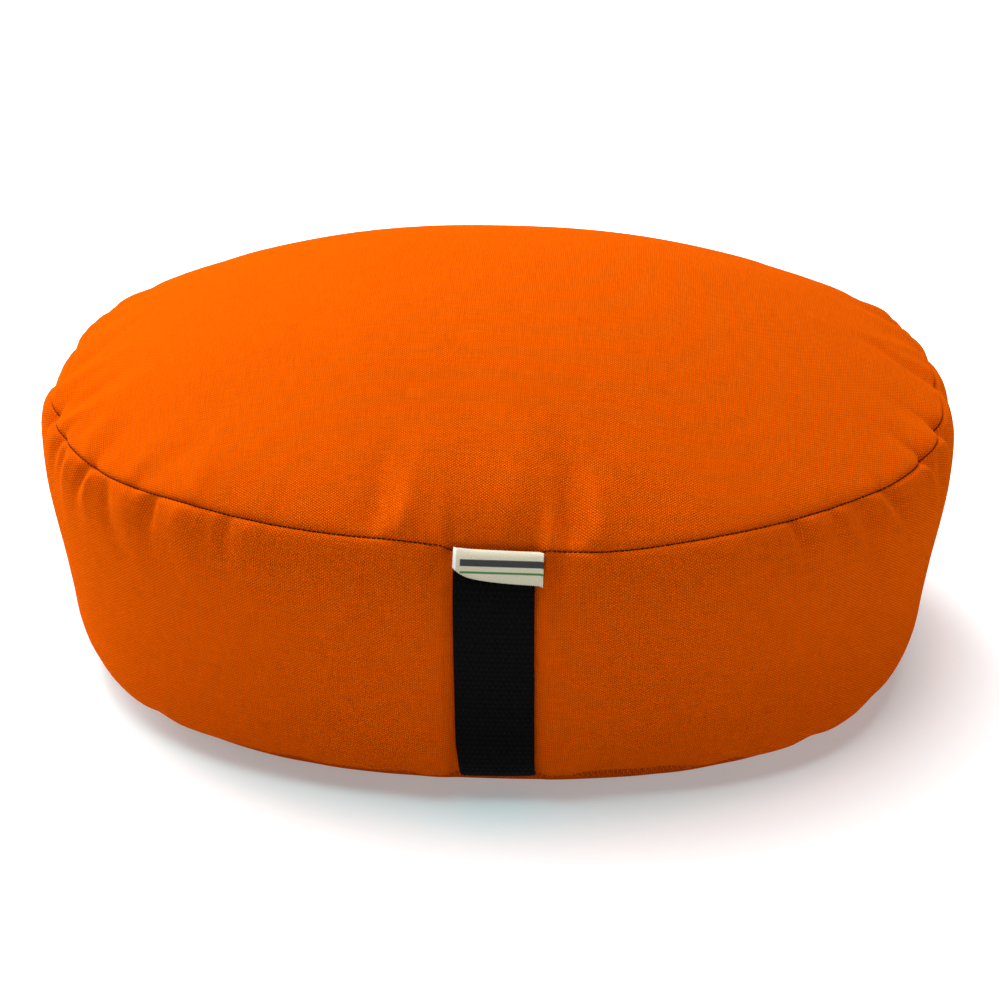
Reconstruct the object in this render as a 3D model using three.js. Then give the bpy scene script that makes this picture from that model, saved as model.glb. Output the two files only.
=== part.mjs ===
// Oval meditation cushion: a canvas top panel, side band and bottom panel sewn round a firm fill,
// with a webbing carry strap and a small woven label let into the seams at the front.
// Millimetres, +Z up. +X runs along the long axis and the front, with the strap, faces -Y.

import * as THREE from 'three';

// The oval of the top seam seen from above. A squareness of 2 would be an ellipse.
const SEAM_HALF_LENGTH = 226;
const SEAM_HALF_DEPTH = 172;
const OVAL_SQUARENESS = 2.28;

// Heights above the surface on which the cushion stands.
const TOP_SEAM_HEIGHT = 149;
const BOTTOM_SEAM_HEIGHT = 8;
const CROWN_RISE = 62;

// Side band from the top seam down to the bottom seam: how far it stands out from the oval.
const BAND_SECTION = [
  { height: 149, out: 0 },
  { height: 142, out: 3.9 },
  { height: 133, out: 7 },
  { height: 118, out: 7.6 },
  { height: 98, out: 5.5 },
  { height: 74, out: 2 },
  { height: 50, out: -1 },
  { height: 30, out: -3.4 },
  { height: 16, out: -9 },
  { height: 8, out: -19 },
];

// Bottom panel from the bottom seam to the rim of the flat on which the cushion stands.
const UNDERSIDE_SECTION = [
  { height: 8, out: -19 },
  { height: 3.2, out: -23.5 },
  { height: 0.9, out: -28 },
  { height: 0, out: -34 },
];

// The top seam isn't level or an exact oval: how far it rises and stands out, round the cushion.
const SEAM_SHIFTS = [
  { angle: -180, lift: 0, out: 0.5 },
  { angle: -170, lift: 0, out: 2.6 },
  { angle: -158, lift: 0, out: 1.6 },
  { angle: -148, lift: 1, out: 0.6 },
  { angle: -135, lift: 4.6, out: 0 },
  { angle: -120, lift: 4.4, out: 0 },
  { angle: -102, lift: 3.6, out: 0 },
  { angle: -92, lift: 2, out: 0 },
  { angle: -80, lift: 1.2, out: 0 },
  { angle: -70, lift: -0.6, out: 0 },
  { angle: -57, lift: 2, out: 0 },
  { angle: -44, lift: 3.2, out: 0 },
  { angle: -34, lift: 2.6, out: 0 },
  { angle: -24, lift: 0, out: 1.2 },
  { angle: -14, lift: 0, out: 2.6 },
  { angle: 0, lift: 0, out: 1.6 },
  { angle: 20, lift: 0, out: 0 },
  { angle: 60, lift: 0, out: 0 },
  { angle: 95, lift: -1.5, out: 0 },
  { angle: 130, lift: 0, out: 0 },
  { angle: 160, lift: 0, out: 0 },
  { angle: 180, lift: 0, out: 0.5 },
];
const SEAM_LIFT_REACH = 42;
const SEAM_OUT_REACH = 12;

// The stitches draw both cloths in along a seam, within a few millimetres of the line.
const SEAM_DRAW = 1.6;
const SEAM_DRAW_REACH = 3.5;

// Where the band is eased onto the top panel it puckers. Each row is one gather, at an angle in
// degrees from +X: how far the seam line is drawn in, how deep its trough is in the band below and
// in the panel above, its width, and how far each trough leans round the oval per millimetre.
const TOP_GATHERS = [
  { angle: -175, seam: 1.5, band: 1.5, panel: 2, width: 8, bandLean: 0, panelLean: -0.5 },
  { angle: -165, seam: 8, band: 3.5, panel: 4.5, width: 7, bandLean: 0, panelLean: -0.6 },
  { angle: -159, seam: 3.4, band: 3.5, panel: 1.2, width: 6, bandLean: 0.1, panelLean: -0.5 },
  { angle: -151.5, seam: 3, band: 3, panel: 1.5, width: 6, bandLean: 0.1, panelLean: -0.4 },
  { angle: -146.5, seam: 0.8, band: 3.2, panel: 0.5, width: 7, bandLean: 0, panelLean: -0.3 },
  { angle: -140.5, seam: 0.8, band: 3, panel: 1.4, width: 7, bandLean: 0, panelLean: -0.3 },
  { angle: -132, seam: 0.5, band: 1.8, panel: 0.8, width: 8, bandLean: 0, panelLean: -0.2 },
  { angle: -127, seam: 0.3, band: 1.6, panel: 1, width: 8, bandLean: 0, panelLean: -0.2 },
  { angle: -117, seam: 0.3, band: 1, panel: 0.8, width: 10, bandLean: 0, panelLean: 0 },
  { angle: -107.5, seam: 0.4, band: 0.4, panel: 2.2, width: 10, bandLean: 0, panelLean: 0 },
  { angle: -75, seam: 0.4, band: 0, panel: 2.4, width: 9, bandLean: 0, panelLean: 0 },
  { angle: -56, seam: 0.2, band: 0.8, panel: 0.6, width: 10, bandLean: 0, panelLean: 0 },
  { angle: -43.5, seam: 0.8, band: 2.2, panel: 0.4, width: 8, bandLean: 0, panelLean: 0 },
  { angle: -36.5, seam: 0.8, band: 2.2, panel: 0.4, width: 8, bandLean: 0.1, panelLean: 0 },
  { angle: -27, seam: 2, band: 3.4, panel: 0.6, width: 7, bandLean: 0, panelLean: 0 },
  { angle: -18.3, seam: 6, band: 3, panel: 1, width: 6, bandLean: 0.2, panelLean: 0 },
  { angle: -10.2, seam: 8.5, band: 2.8, panel: 3.5, width: 7, bandLean: 0.2, panelLean: 0.1 },
  { angle: 1.5, seam: 3, band: 2, panel: 2.5, width: 7, bandLean: 0.1, panelLean: 0.2 },
  { angle: 12, seam: 3.5, band: 2.5, panel: 3, width: 8, bandLean: 0, panelLean: 0.3 },
  { angle: 19, seam: 3, band: 2.5, panel: 3, width: 8, bandLean: 0, panelLean: 0.3 },
  { angle: 26.5, seam: 3, band: 2.2, panel: 2.5, width: 8, bandLean: 0, panelLean: 0.3 },
  { angle: 36, seam: 1.6, band: 1.6, panel: 1.5, width: 9, bandLean: 0, panelLean: 0.2 },
  { angle: 48, seam: 1, band: 1.4, panel: 1, width: 10, bandLean: 0, panelLean: 0 },
  { angle: 67, seam: 0.5, band: 1, panel: 0.8, width: 11, bandLean: 0, panelLean: 0 },
  { angle: 94, seam: 0.4, band: 0.8, panel: 0.8, width: 11, bandLean: 0, panelLean: 0 },
  { angle: 118, seam: 0.5, band: 1, panel: 0.8, width: 11, bandLean: 0, panelLean: 0 },
  { angle: 136, seam: 1, band: 1.4, panel: 1, width: 10, bandLean: 0, panelLean: 0 },
  { angle: 147, seam: 1.4, band: 2, panel: 1.4, width: 9, bandLean: 0, panelLean: -0.2 },
  { angle: 157, seam: 2.5, band: 2.4, panel: 2.2, width: 8, bandLean: 0, panelLean: -0.3 },
  { angle: 164.5, seam: 3, band: 2.5, panel: 3, width: 8, bandLean: 0, panelLean: -0.3 },
  { angle: 172, seam: 3, band: 2.5, panel: 3, width: 8, bandLean: 0, panelLean: -0.4 },
];
const BAND_TROUGH_PEAK = 13;
const PANEL_TROUGH_PEAK = 14;
const TROUGH_SPREAD = 0.12;
const CUSP_SHARPNESS = 1.3;
const CUSP_REACH = 7;

// What a gather draws in at its line, it lets out again as a low swell on both sides.
const SWELL_SHARE = 0.35;
const SWELL_WIDTHS = 3;

// The same for the bottom seam, whose easing shows as small dents along its line.
const BOTTOM_GATHERS = [
  { angle: -158, pull: 2 },
  { angle: -144, pull: 2.4 },
  { angle: -121, pull: 1.6 },
  { angle: -102, pull: 1.2 },
  { angle: -58, pull: 1.4 },
  { angle: -48, pull: 2 },
  { angle: -36, pull: 2.6 },
  { angle: -24, pull: 2 },
  { angle: -6, pull: 1.8 },
  { angle: 16, pull: 2.2 },
  { angle: 38, pull: 2 },
  { angle: 66, pull: 1.4 },
  { angle: 101, pull: 1.4 },
  { angle: 131, pull: 2 },
  { angle: 153, pull: 2.2 },
  { angle: 176, pull: 1.8 },
];
const BOTTOM_GATHER_WIDTH = 9;
const BOTTOM_GATHER_REACH = 11;

// The fill bulges and sags a little: soft lumps on the surface, outward where the rise is positive.
const FILL_LUMPS = [
  { angle: -103, height: 160, rise: 2.2, spread: 17 },
  { angle: -70, height: 158, rise: 1.8, spread: 15 },
  { angle: -84, height: 172, rise: 1.2, spread: 20 },
  { angle: -66, height: 8, rise: -3, spread: 38 },
  { angle: -34, height: 24, rise: 2.2, spread: 42 },
  { angle: -146, height: 22, rise: 1.6, spread: 42 },
  { angle: 22, height: 150, rise: 1.6, spread: 32 },
  { angle: 162, height: 150, rise: 1.2, spread: 24 },
  { angle: -179, height: 150, rise: -2, spread: 20 },
  { angle: 70, height: 80, rise: 1.4, spread: 45 },
  { angle: 128, height: 60, rise: -1.4, spread: 40 },
];

// Pulls and pushes on the cloth act along lines to the middle of the fill.
const CORE_SHARE = 0.5;
const CORE_HEIGHT = 60;

// Carry strap: 38 mm webbing that lies flat down the front, from the top seam to the bottom seam.
const STRAP_WIDTH = 38;
const STRAP_THICKNESS = 2;
const STRAP_CENTRE = 9;

// The strap holds the cloth in, so it lies in a shallow channel with a puffed lip on each side.
const CHANNEL_DEPTHS = [
  { height: 0, depth: 1.6, lip: 0.6 },
  { height: 12, depth: 2.2, lip: 1 },
  { height: 40, depth: 2.4, lip: 2 },
  { height: 90, depth: 2.6, lip: 2.4 },
  { height: 120, depth: 3.4, lip: 1.6 },
  { height: 138, depth: 5, lip: 0 },
  { height: 149, depth: 4, lip: 0 },
];
const CHANNEL_FLOOR_HALF = 21;
const CHANNEL_WALL = 9;
const LIP_CENTRE = 33;
const LIP_SPREAD = 9;
const TUCK_REACH = 16;

// Label: a folded tab of woven tape over the top of the strap, its left corner curled away.
const LABEL_LEFT = -10.5;
const LABEL_RIGHT = 32.5;
const LABEL_THICKNESS = 1;
const LABEL_TOP = 149;
const LABEL_DROPS = [
  { across: 0, drop: 8 },
  { across: 0.07, drop: 10.4 },
  { across: 0.2, drop: 12.2 },
  { across: 0.5, drop: 13.6 },
  { across: 1, drop: 15.2 },
];

// Clear space between pieces that lie on each other.
const PIECE_GAP = 0.5;

// Mesh fineness. The number of columns is a multiple of four, because rings thin out by halves.
const COLUMN_COUNT = 168;
const COLUMN_STEP_FINE = 4.4;
const COLUMN_STEP_WIDE = 10;
const OVAL_SAMPLES = 2880;
const STRAP_COLUMN_MARKS = [-94, -87, -80];
const BAND_ROWS = [146.5, 142, 136, 128, 118, 105, 90, 73, 55, 38, 24, 14, 10.2];
const PANEL_RINGS = [
  { share: 0.987, step: 1 },
  { share: 0.965, step: 1 },
  { share: 0.935, step: 1 },
  { share: 0.895, step: 1 },
  { share: 0.845, step: 1 },
  { share: 0.785, step: 1 },
  { share: 0.7, step: 2 },
  { share: 0.59, step: 2 },
  { share: 0.46, step: 2 },
  { share: 0.31, step: 4 },
  { share: 0.15, step: 4 },
];
const FLAT_RINGS = [
  { share: 0.3, step: 4 },
  { share: 0.62, step: 2 },
];

const DEGREE = Math.PI / 180;

/** 0 before the first value and 1 after the second, with a smooth rise between them. */
function smoothRise(from, to, value) {
  return THREE.MathUtils.smoothstep(value, from, to);
}

function bell(distance, spread) {
  return Math.exp(-((distance / spread) ** 2));
}

/** Distance from the middle to the top seam's oval in the direction of an angle. */
function ovalRadius(angle) {
  const along = Math.abs(Math.cos(angle)) / SEAM_HALF_LENGTH;
  const across = Math.abs(Math.sin(angle)) / SEAM_HALF_DEPTH;
  return (along ** OVAL_SQUARENESS + across ** OVAL_SQUARENESS) ** (-1 / OVAL_SQUARENESS);
}

/** Distance round the oval between an angle and a mark given in degrees, positive on one side. */
function roundDistance(angle, markDegrees) {
  const turn = angle - markDegrees * DEGREE;
  return Math.atan2(Math.sin(turn), Math.cos(turn)) * ovalRadius(angle);
}

/** Reads one column of a table sorted by another column, with a smooth curve through its rows. */
function readTable(rows, key, column, value) {
  const rising = rows[0][key] < rows[rows.length - 1][key];
  const sorted = rising ? rows : [...rows].reverse();
  const last = sorted.length - 1;
  const at = THREE.MathUtils.clamp(value, sorted[0][key], sorted[last][key]);
  let i = 0;
  while (i < last - 1 && at > sorted[i + 1][key]) i += 1;
  const slopeAt = (j) => {
    const before = sorted[Math.max(j - 1, 0)];
    const after = sorted[Math.min(j + 1, last)];
    return (after[column] - before[column]) / (after[key] - before[key]);
  };
  const low = sorted[i];
  const high = sorted[i + 1];
  const span = high[key] - low[key];
  const t = (at - low[key]) / span;
  const startPull = t * (1 - t) ** 2 * span * slopeAt(i);
  const endPull = t ** 2 * (t - 1) * span * slopeAt(i + 1);
  const blend = t ** 2 * (3 - 2 * t);
  return low[column] * (1 - blend) + high[column] * blend + startPull + endPull;
}

/** A trough that starts at nothing on the seam, is deepest at its peak, and dies away after it. */
function troughFade(distance, peak) {
  return (distance / peak) * Math.exp(1 - distance / peak);
}

/** How far the top seam's gathers draw the cloth in. Reach is 0 on the seam, negative below it. */
function topGatherDepth(angle, reach) {
  const distance = Math.abs(reach);
  const below = reach < 0;
  let depth = 0;
  for (const gather of TOP_GATHERS) {
    const lean = below ? gather.bandLean : gather.panelLean;
    const aside = Math.abs(roundDistance(angle, gather.angle) - lean * distance);
    const width = gather.width + TROUGH_SPREAD * distance;
    const swell = SWELL_SHARE * bell(aside, SWELL_WIDTHS * width);
    const cusp = Math.exp(-((aside / gather.width) ** CUSP_SHARPNESS)) - swell;
    const trough = below ? gather.band : gather.panel;
    const peak = below ? BAND_TROUGH_PEAK : PANEL_TROUGH_PEAK;
    depth += gather.seam * cusp * Math.exp(-distance / CUSP_REACH);
    depth += trough * (bell(aside, width) - swell) * troughFade(distance, peak);
  }
  return depth;
}

function bottomGatherDepth(angle, height) {
  const fade = bell(height - BOTTOM_SEAM_HEIGHT, BOTTOM_GATHER_REACH);
  let depth = 0;
  for (const gather of BOTTOM_GATHERS) {
    const aside = roundDistance(angle, gather.angle);
    const swell = SWELL_SHARE * bell(aside, SWELL_WIDTHS * BOTTOM_GATHER_WIDTH);
    depth += gather.pull * (bell(aside, BOTTOM_GATHER_WIDTH) - swell);
  }
  return depth * fade;
}

function lumpRise(angle, height) {
  let rise = 0;
  for (const lump of FILL_LUMPS) {
    const aside = roundDistance(angle, lump.angle);
    rise += lump.rise * bell(Math.hypot(aside, height - lump.height), lump.spread);
  }
  return rise;
}

/** Depth of the strap's channel at a place on the front, negative on its puffed lips. */
function channelDepth(point, reach) {
  if (point.y > 0) return 0;
  const aside = Math.abs(point.x - STRAP_CENTRE);
  const depth = readTable(CHANNEL_DEPTHS, 'height', 'depth', Math.min(point.z, TOP_SEAM_HEIGHT));
  const lip = readTable(CHANNEL_DEPTHS, 'height', 'lip', Math.min(point.z, TOP_SEAM_HEIGHT));
  const floor = 1 - smoothRise(CHANNEL_FLOOR_HALF, CHANNEL_FLOOR_HALF + CHANNEL_WALL, aside);
  const wave = depth * floor - lip * bell(aside - LIP_CENTRE, LIP_SPREAD);
  return reach > 0 ? wave * bell(reach, TUCK_REACH) : wave;
}

/** Carries a point along with the top seam's own rise and swerve. */
function shiftWithSeam(point, angle, reach) {
  const degrees = angle / DEGREE;
  const out = readTable(SEAM_SHIFTS, 'angle', 'out', degrees) * bell(reach, SEAM_OUT_REACH);
  const lift = readTable(SEAM_SHIFTS, 'angle', 'lift', degrees) * bell(reach, SEAM_LIFT_REACH);
  point.add(new THREE.Vector3(out * Math.cos(angle), out * Math.sin(angle), lift));
}

/** Moves a point of the plain form towards the middle of the fill by what draws the cloth in. */
function drawIn(point, angle, reach) {
  shiftWithSeam(point, angle, reach);
  const core = new THREE.Vector3(point.x * CORE_SHARE, point.y * CORE_SHARE, CORE_HEIGHT);
  const inward = core.sub(point).normalize();
  const nearest = Math.min(Math.abs(reach), Math.abs(point.z - BOTTOM_SEAM_HEIGHT));
  const depth =
    SEAM_DRAW * Math.exp(-nearest / SEAM_DRAW_REACH) +
    topGatherDepth(angle, reach) +
    bottomGatherDepth(angle, point.z) +
    channelDepth(point, reach) -
    lumpRise(angle, point.z);
  return point.addScaledVector(inward, depth);
}

function polarPoint(angle, radius, height) {
  return new THREE.Vector3(radius * Math.cos(angle), radius * Math.sin(angle), height);
}

/** A point of the top panel. Share is 1 on the seam and 0 at the middle of the crown. */
function panelPoint(angle, share) {
  const radius = ovalRadius(angle);
  const height = TOP_SEAM_HEIGHT + CROWN_RISE * (1 - share ** 2);
  return drawIn(polarPoint(angle, radius * share, height), angle, radius * (1 - share));
}

/** A point of the side band, given by its height before the gathers move it. */
function bandPoint(angle, height) {
  const radius = ovalRadius(angle) + readTable(BAND_SECTION, 'height', 'out', height);
  return drawIn(polarPoint(angle, radius, height), angle, height - TOP_SEAM_HEIGHT);
}

/** A point of the bottom panel between its seam and the flat on which the cushion stands. */
function undersidePoint(angle, row) {
  const point = polarPoint(angle, ovalRadius(angle) + row.out, row.height);
  if (row.height === 0) return point;
  const moved = drawIn(point, angle, row.height - TOP_SEAM_HEIGHT);
  moved.z = row.height;
  return moved;
}

/** Angles of the columns, closer together where the cloth is gathered or the strap lies. */
function columnAngles() {
  const marks = TOP_GATHERS.filter((gather) => gather.seam > 1).map((gather) => gather.angle);
  marks.push(...STRAP_COLUMN_MARKS);
  const crowding = (angle) => {
    const near = marks.map((mark) => bell(roundDistance(angle, mark), 2 * COLUMN_STEP_WIDE));
    const closeness = Math.max(...near);
    return 1 / THREE.MathUtils.lerp(COLUMN_STEP_WIDE, COLUMN_STEP_FINE, closeness);
  };
  const sampleStep = (2 * Math.PI) / OVAL_SAMPLES;
  const totals = [0];
  for (let i = 0; i < OVAL_SAMPLES; i += 1) {
    const angle = -Math.PI + i * sampleStep;
    totals.push(totals[i] + crowding(angle) * ovalRadius(angle) * sampleStep);
  }
  const angles = [];
  let sample = 0;
  for (let column = 0; column < COLUMN_COUNT; column += 1) {
    const wanted = (totals[OVAL_SAMPLES] * column) / COLUMN_COUNT;
    while (totals[sample + 1] < wanted) sample += 1;
    const part = (wanted - totals[sample]) / (totals[sample + 1] - totals[sample]);
    angles.push(-Math.PI + (sample + part) * sampleStep);
  }
  return angles;
}

/** Collects the points and triangles of one closed body. */
class Body {
  constructor() {
    this.points = [];
    this.triangles = [];
  }

  add(point) {
    this.points.push(point.x, point.y, point.z);
    return this.points.length / 3 - 1;
  }

  face(a, b, c) {
    this.triangles.push(a, b, c);
  }

  /** Adds a ring of points at every step-th column. */
  ring(angles, step, place) {
    const ids = [];
    for (let i = 0; i < angles.length; i += step) ids.push(this.add(place(angles[i])));
    return ids;
  }

  /** Joins a ring to the next one above it or further in, which may have half or twice as many points. */
  bridge(lower, upper) {
    const count = Math.min(lower.length, upper.length);
    const lowStep = lower.length / count;
    const highStep = upper.length / count;
    for (let i = 0; i < count; i += 1) {
      const lowStart = lower[i * lowStep];
      const lowEnd = lower[((i + 1) * lowStep) % lower.length];
      const highStart = upper[i * highStep];
      const highEnd = upper[((i + 1) * highStep) % upper.length];
      if (lowStep === 2) {
        const lowMiddle = lower[i * 2 + 1];
        this.face(lowStart, lowMiddle, highStart);
        this.face(lowMiddle, highEnd, highStart);
        this.face(lowMiddle, lowEnd, highEnd);
      } else if (highStep === 2) {
        const highMiddle = upper[i * 2 + 1];
        this.face(lowStart, highMiddle, highStart);
        this.face(lowStart, lowEnd, highMiddle);
        this.face(lowEnd, highEnd, highMiddle);
      } else {
        this.face(lowStart, lowEnd, highEnd);
        this.face(lowStart, highEnd, highStart);
      }
    }
  }

  geometry() {
    const geometry = new THREE.BufferGeometry();
    geometry.setAttribute('position', new THREE.Float32BufferAttribute(this.points, 3));
    geometry.setIndex(this.triangles);
    geometry.computeVertexNormals();
    return geometry;
  }
}

/** The filled body: flat underneath, rolled at both seams, crowned on top. */
function cushionGeometry() {
  const body = new Body();
  const angles = columnAngles();
  const flatRim = UNDERSIDE_SECTION[UNDERSIDE_SECTION.length - 1];
  const bottomPole = body.add(new THREE.Vector3(0, 0, 0));
  const rings = FLAT_RINGS.map(({ share, step }) =>
    body.ring(angles, step, (angle) => polarPoint(angle, share * (ovalRadius(angle) + flatRim.out), 0)),
  );
  for (const row of [...UNDERSIDE_SECTION].reverse()) {
    rings.push(body.ring(angles, 1, (angle) => undersidePoint(angle, row)));
  }
  for (const height of [...BAND_ROWS].reverse()) {
    rings.push(body.ring(angles, 1, (angle) => bandPoint(angle, height)));
  }
  rings.push(body.ring(angles, 1, (angle) => panelPoint(angle, 1)));
  for (const { share, step } of PANEL_RINGS) {
    rings.push(body.ring(angles, step, (angle) => panelPoint(angle, share)));
  }
  const crownPole = body.add(panelPoint(0, 0));
  const floorRing = rings[0];
  floorRing.forEach((id, i) => body.face(bottomPole, floorRing[(i + 1) % floorRing.length], id));
  for (let i = 0; i < rings.length - 1; i += 1) body.bridge(rings[i], rings[i + 1]);
  const crownRing = rings[rings.length - 1];
  crownRing.forEach((id, i) => body.face(id, crownRing[(i + 1) % crownRing.length], crownPole));
  return body.geometry();
}

/** The point of the front wall at a place across and a height, found by turning to that place. */
function frontWall(x, height) {
  let angle = -Math.PI / 2;
  let point = bandPoint(angle, height);
  for (let i = 0; i < 8; i += 1) {
    angle += (x - point.x) / ovalRadius(angle);
    point = bandPoint(angle, height);
  }
  return point;
}

/** The way out of the front wall at a height, square to its section. */
function frontOutward(x, height) {
  const rise = frontWall(x, height + 1).sub(frontWall(x, height - 1));
  return new THREE.Vector3(0, -rise.z, rise.y).normalize();
}

/** A closed sheet between two grids of points, each a list of rows of equal length. */
function sheetGeometry(innerRows, outerRows) {
  const body = new Body();
  const inner = innerRows.map((row) => row.map((point) => body.add(point)));
  const outer = outerRows.map((row) => row.map((point) => body.add(point)));
  const lastRow = inner.length - 1;
  const lastColumn = inner[0].length - 1;
  const quad = (a, b, c, d) => {
    body.face(a, b, c);
    body.face(a, c, d);
  };
  for (let i = 0; i < lastRow; i += 1) {
    for (let j = 0; j < lastColumn; j += 1) {
      quad(outer[i][j], outer[i + 1][j], outer[i + 1][j + 1], outer[i][j + 1]);
      quad(inner[i][j], inner[i][j + 1], inner[i + 1][j + 1], inner[i + 1][j]);
    }
    quad(inner[i][0], inner[i + 1][0], outer[i + 1][0], outer[i][0]);
    quad(inner[i][lastColumn], outer[i][lastColumn], outer[i + 1][lastColumn], inner[i + 1][lastColumn]);
  }
  for (let j = 0; j < lastColumn; j += 1) {
    quad(inner[0][j], outer[0][j], outer[0][j + 1], inner[0][j + 1]);
    quad(inner[lastRow][j], inner[lastRow][j + 1], outer[lastRow][j + 1], outer[lastRow][j]);
  }
  return body.geometry();
}

/** The strap, a flat web that follows the channel's floor from seam to seam. */
function strapGeometry() {
  const shares = [0, 0.25, 0.5, 0.75, 1];
  const layer = (depth) =>
    BAND_ROWS.map((height) => {
      const outward = frontOutward(STRAP_CENTRE, height);
      return shares.map((share) => {
        const x = STRAP_CENTRE + (share - 0.5) * STRAP_WIDTH;
        return frontWall(x, height).addScaledVector(outward, depth);
      });
    });
  return sheetGeometry(layer(PIECE_GAP), layer(PIECE_GAP + STRAP_THICKNESS));
}

/** The label, a tab that comes out of the top seam and hangs over the strap's top. */
function labelGeometry() {
  const shares = [0, 0.07, 0.2, 0.4, 0.6, 0.8, 1];
  const overStrap = 2 * PIECE_GAP + STRAP_THICKNESS;
  const drops = [
    { down: 0, stand: 2 * PIECE_GAP },
    { down: 0.17, stand: overStrap + 0.4 },
    { down: 0.45, stand: overStrap + 0.3 },
    { down: 0.75, stand: overStrap + 0.4 },
    { down: 1, stand: overStrap + 0.9 },
  ];
  const layer = (extra) =>
    drops.map(({ down, stand }) =>
      shares.map((share) => {
        const x = THREE.MathUtils.lerp(LABEL_LEFT, LABEL_RIGHT, share);
        const height = LABEL_TOP - down * readTable(LABEL_DROPS, 'across', 'drop', share);
        const outward = frontOutward(STRAP_CENTRE, height);
        const floor = frontWall(STRAP_CENTRE, height);
        floor.set(x, Math.min(floor.y, frontWall(x, height).y), floor.z);
        return floor.addScaledVector(outward, stand + extra);
      }),
    );
  return sheetGeometry(layer(0), layer(LABEL_THICKNESS));
}

function piece(name, geometry, colour, roughness) {
  const material = new THREE.MeshStandardMaterial({ color: colour, roughness, metalness: 0 });
  material.name = name;
  const mesh = new THREE.Mesh(geometry, material);
  mesh.name = name;
  return mesh;
}

const cushion = new THREE.Group();
cushion.name = 'meditation_cushion';
cushion.add(piece('cushion_body', cushionGeometry(), 0xf2640c, 0.92));
cushion.add(piece('carry_strap', strapGeometry(), 0x17171a, 0.8));
cushion.add(piece('label', labelGeometry(), 0xd6d1b6, 0.85));

// The frame's origin is under the middle of the whole thing, on the surface that it stands on.
const box = new THREE.Box3().setFromObject(cushion);
const middle = box.getCenter(new THREE.Vector3());
cushion.position.set(-middle.x, -middle.y, -box.min.z);

export default cushion;
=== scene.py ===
import math
from collections import namedtuple

import bpy
import numpy as np
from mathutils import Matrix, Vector


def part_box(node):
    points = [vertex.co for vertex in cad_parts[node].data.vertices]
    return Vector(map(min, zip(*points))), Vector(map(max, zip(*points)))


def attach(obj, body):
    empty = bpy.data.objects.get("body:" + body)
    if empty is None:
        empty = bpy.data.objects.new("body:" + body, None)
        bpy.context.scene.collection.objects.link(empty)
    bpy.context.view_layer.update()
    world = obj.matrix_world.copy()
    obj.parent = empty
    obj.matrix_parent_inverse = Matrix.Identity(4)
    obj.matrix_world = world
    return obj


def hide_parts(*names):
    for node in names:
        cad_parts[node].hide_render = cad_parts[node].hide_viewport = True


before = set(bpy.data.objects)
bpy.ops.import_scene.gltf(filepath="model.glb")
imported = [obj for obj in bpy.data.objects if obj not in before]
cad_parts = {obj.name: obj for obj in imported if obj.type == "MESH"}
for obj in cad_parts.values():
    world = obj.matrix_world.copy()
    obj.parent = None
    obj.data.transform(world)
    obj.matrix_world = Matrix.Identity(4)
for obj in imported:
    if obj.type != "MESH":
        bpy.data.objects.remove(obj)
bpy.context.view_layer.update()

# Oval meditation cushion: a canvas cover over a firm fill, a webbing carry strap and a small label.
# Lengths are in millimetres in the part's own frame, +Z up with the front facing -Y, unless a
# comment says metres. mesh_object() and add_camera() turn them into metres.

MM = 0.001
scene = bpy.context.scene

# The oval of the top seam seen from above. A squareness of 2 would be an ellipse.
SEAM_HALF_LENGTH = 226
SEAM_HALF_DEPTH = 172
OVAL_SQUARENESS = 2.28

# Heights above the surface on which the cushion stands.
TOP_SEAM_HEIGHT = 149
BOTTOM_SEAM_HEIGHT = 8
CROWN_RISE = 62

# Side band from the top seam down to the bottom seam, and the bottom panel's edge under it: how far
# each stands out from the oval at some heights.
BAND_SECTION = {
    149: 0,
    142: 3.9,
    133: 7,
    118: 7.6,
    98: 5.5,
    74: 2,
    50: -1,
    30: -3.4,
    16: -9,
    8: -19,
}
UNDERSIDE_SECTION = {
    8: -19,
    3.2: -23.5,
    0.9: -28,
    0: -34,
}

# The top seam isn't level or an exact oval: how far it rises and how far it stands out, by angle.
SEAM_SHIFTS = {
    -180: (0, 0.5),
    -174: (0, 3.4),
    -169: (0, 2.8),
    -158: (0, 1.6),
    -148: (1, 0.6),
    -135: (4.6, 0),
    -120: (4.4, 0),
    -102: (3.6, 0),
    -92: (2, 0),
    -80: (1.2, 0),
    -70: (-0.6, 0),
    -57: (2, 0),
    -44: (3.2, 0),
    -34: (2.6, 0),
    -24: (0, 1.2),
    -14: (0, 2.6),
    0: (0, 1.6),
    20: (0, 0),
    60: (0, 0),
    95: (-1.5, 0),
    130: (0, 0),
    160: (0, 0),
    180: (0, 0.5),
}
SEAM_LIFT_REACH = 42
SEAM_OUT_REACH = 12

# The stitches draw both cloths in along a seam in a broad roll. The top seam also has a fine groove
# in it, deeper at the cushion's two ends.
SEAM_DRAW = 1.6
SEAM_DRAW_REACH = 3.5
GROOVE_DEPTH = 1.3
GROOVE_DEPTH_AT_ENDS = 2.4
GROOVE_END_SHARPNESS = 4
GROOVE_REACH = 1

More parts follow.
